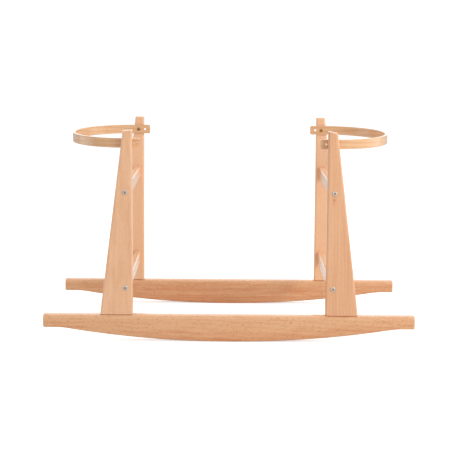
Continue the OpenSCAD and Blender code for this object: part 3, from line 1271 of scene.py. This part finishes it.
def paper_material(glow):
    """Matt white paper with a faint tooth, which glows a little where it is seen."""
    material, tree, shader = new_material("studio_paper")
    place = add(tree, "TexCoord").outputs["Object"]
    tooth = noise_of(tree, place, (140, 140, 140), detail=3)
    tone = blend_of(tree, tooth, rgba((0.86, 0.86, 0.86)), rgba((0.90, 0.90, 0.90)))
    tree.links.new(tone, shader.inputs["Base Color"])
    shader.inputs["Roughness"].default_value = 0.9
    shader.inputs["Specular IOR Level"].default_value = 0.1
    seen = add(tree, "LightPath").outputs["Is Camera Ray"]
    shader.inputs["Emission Color"].default_value = (1, 1, 1, 1)
    tree.links.new(math_of(tree, "MULTIPLY", seen, glow), shader.inputs["Emission Strength"])
    return material


def room_world(level, white):
    """A white room that is brighter where it is seen or mirrored than in the light it gives."""
    world = bpy.data.worlds.new("studio_room")
    world.use_nodes = True
    tree = world.node_tree
    path = add(tree, "LightPath")
    shown = math_of(tree, "MAXIMUM", path.outputs["Is Camera Ray"], path.outputs["Is Glossy Ray"])
    strength = math_of(tree, "MULTIPLY_ADD", shown, white - level, level)
    room = tree.nodes["Background"]
    room.inputs["Color"].default_value = (1, 1, 1, 1)
    tree.links.new(strength, room.inputs["Strength"])
    return world


def area_light(name, place, target, size, power):
    """A square soft light that looks at a point."""
    light = bpy.data.lights.new(name, "AREA")
    light.shape = "SQUARE"
    light.size = size
    light.energy = power
    obj = bpy.data.objects.new(name, light)
    bpy.context.scene.collection.objects.link(obj)
    obj.location = place
    obj.rotation_euler = (Vector(target) - Vector(place)).to_track_quat("-Z", "Y").to_euler()
    return obj


class STAND_OT_stage(bpy.types.Operator):
    """Make the floor, the lights and the camera"""

    bl_idname = "stand.stage"
    bl_label = "Stage"

    def execute(self, context):
        scene = context.scene
        stage = scene.stand_stage
        paper = bmesh.new()
        bmesh.ops.create_circle(paper, cap_ends=True, segments=96, radius=14)
        floor = scratch_object(paper, "studio_floor")
        floor.data.materials.append(paper_material(stage.floor_glow))

        scene.world = room_world(stage.room_level, stage.room_white)
        scene.view_settings.view_transform = "Standard"

        middle = (0, 0, 0.25)
        area_light("key_light", (2.4, -2.5, 1.7), middle, 1.5, stage.key_power)
        area_light("right_light", (2.8, 0.6, 0.9), middle, 1.8, stage.fill_power)
        area_light("left_light", (-2.8, 0.6, 0.9), middle, 1.8, stage.fill_power)
        area_light("top_light", (0, 1.0, 2.9), middle, 2.0, stage.top_power)

        lens = bpy.data.cameras.new("view_camera")
        lens.sensor_width = 36
        lens.lens = stage.camera_lens
        lens.shift_y = stage.camera_shift
        camera = bpy.data.objects.new("view_camera", lens)
        scene.collection.objects.link(camera)
        place = (stage.camera_side, -stage.camera_distance, stage.camera_height)
        aim = Matrix.Rotation(math.pi / 2 - stage.camera_pitch, 4, "X")
        roll = Matrix.Rotation(stage.camera_roll, 4, "Z")
        camera.matrix_world = Matrix.Translation(place) @ aim @ roll
        scene.camera = camera
        return {"FINISHED"}


# ---- panel and main


OPERATORS = (
    STAND_OT_rockers,
    STAND_OT_uprights,
    STAND_OT_rails,
    STAND_OT_hoops,
    STAND_OT_rail_bolts,
    STAND_OT_barrel_nuts,
    STAND_OT_hoop_screws,
    STAND_OT_small_parts,
    STAND_OT_stage,
)


class STAND_PT_sidebar(bpy.types.Panel):
    """Lists the stand's settings and the operators that build it"""

    bl_idname = "STAND_PT_sidebar"
    bl_label = "Rocking Stand"
    bl_space_type = "VIEW_3D"
    bl_region_type = "UI"
    bl_category = "Stand"

    def draw(self, context):
        layout = self.layout
        for operator in OPERATORS:
            layout.operator(operator.bl_idname)
        scene = context.scene
        for settings in (scene.stand_shape, scene.stand_wood, scene.stand_stage):
            column = layout.column(align=True)
            for name in settings.bl_rna.properties.keys():
                if name not in ("rna_type", "name"):
                    column.prop(settings, name)


CLASSES = (StandShape, StandWood, StandStage, *OPERATORS, STAND_PT_sidebar)


def register():
    for cls in CLASSES:
        bpy.utils.register_class(cls)
    bpy.types.Scene.stand_shape = PointerProperty(type=StandShape)
    bpy.types.Scene.stand_wood = PointerProperty(type=StandWood)
    bpy.types.Scene.stand_stage = PointerProperty(type=StandStage)


def unregister():
    del bpy.types.Scene.stand_stage
    del bpy.types.Scene.stand_wood
    del bpy.types.Scene.stand_shape
    for cls in reversed(CLASSES):
        bpy.utils.unregister_class(cls)


def main():
    register()
    for operator in OPERATORS:
        category, name = operator.bl_idname.split(".")
        getattr(getattr(bpy.ops, category), name)()


if __name__ == "__main__":
    main()
